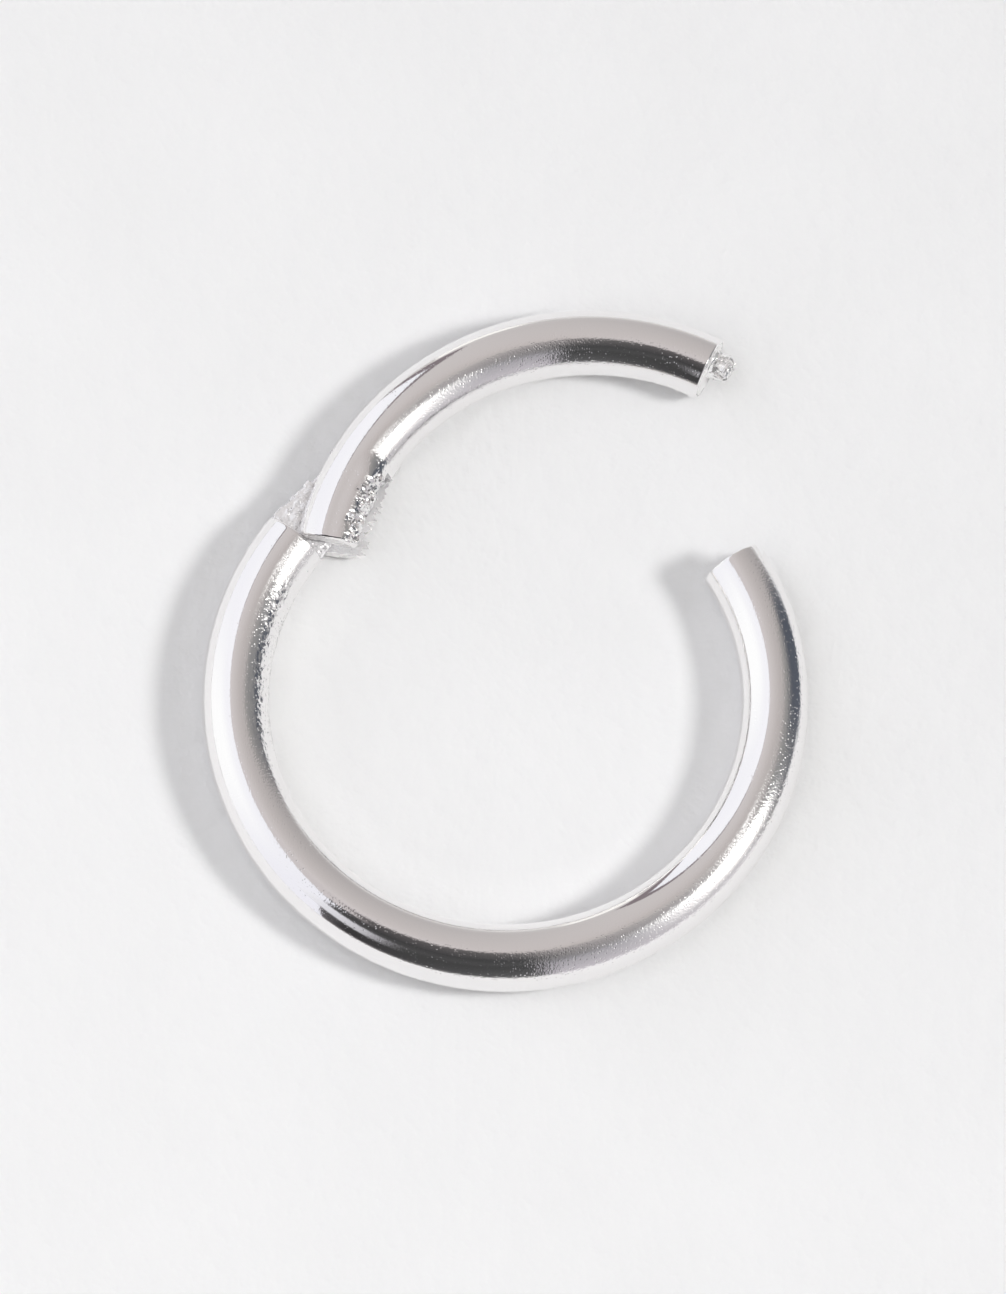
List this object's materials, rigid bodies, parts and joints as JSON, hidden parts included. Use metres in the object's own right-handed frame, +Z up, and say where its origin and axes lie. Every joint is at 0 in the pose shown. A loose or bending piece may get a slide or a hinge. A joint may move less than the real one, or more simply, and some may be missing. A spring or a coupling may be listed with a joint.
{
  "type": "hinged segment clicker ring",
  "caption": "Open round-wire hoop with a short hinged segment that swings out and clicks shut on a catch stud.",
  "frame": {"origin": "middle of the footprint of the ring as it lies opened, on the surface that the wire touches", "axes": "+Z up out of the plane of the hoop, +Y from the bottom of the hoop towards the opened segment, +X towards the clasp end"},
  "size_m": [0.0108, 0.0128, 0.0012],
  "materials": {
    "polished_hoop_silver": "polished silver with fine scratches",
    "polished_segment_silver": "polished silver, rough where the hinge was cut",
    "pin_silver": "plain drawn wire",
    "cut_stud_silver": "rough cut, glittering"
  },
  "bodies": {
    "hoop": {"ring_body": "polished_hoop_silver"},
    "segment": {"swing_segment": "polished_segment_silver", "hinge_pin": "pin_silver", "catch_stud": "cut_stud_silver"}
  },
  "joints": [
    {"name": "segment_hinge", "type": "hinge", "parent": "hoop", "child": "segment", "pos_m": [-0.00291, 0.00286, 0.0006], "axis": [0, 0, 1], "range_deg": [-29.5, 45.5]}
  ]
}
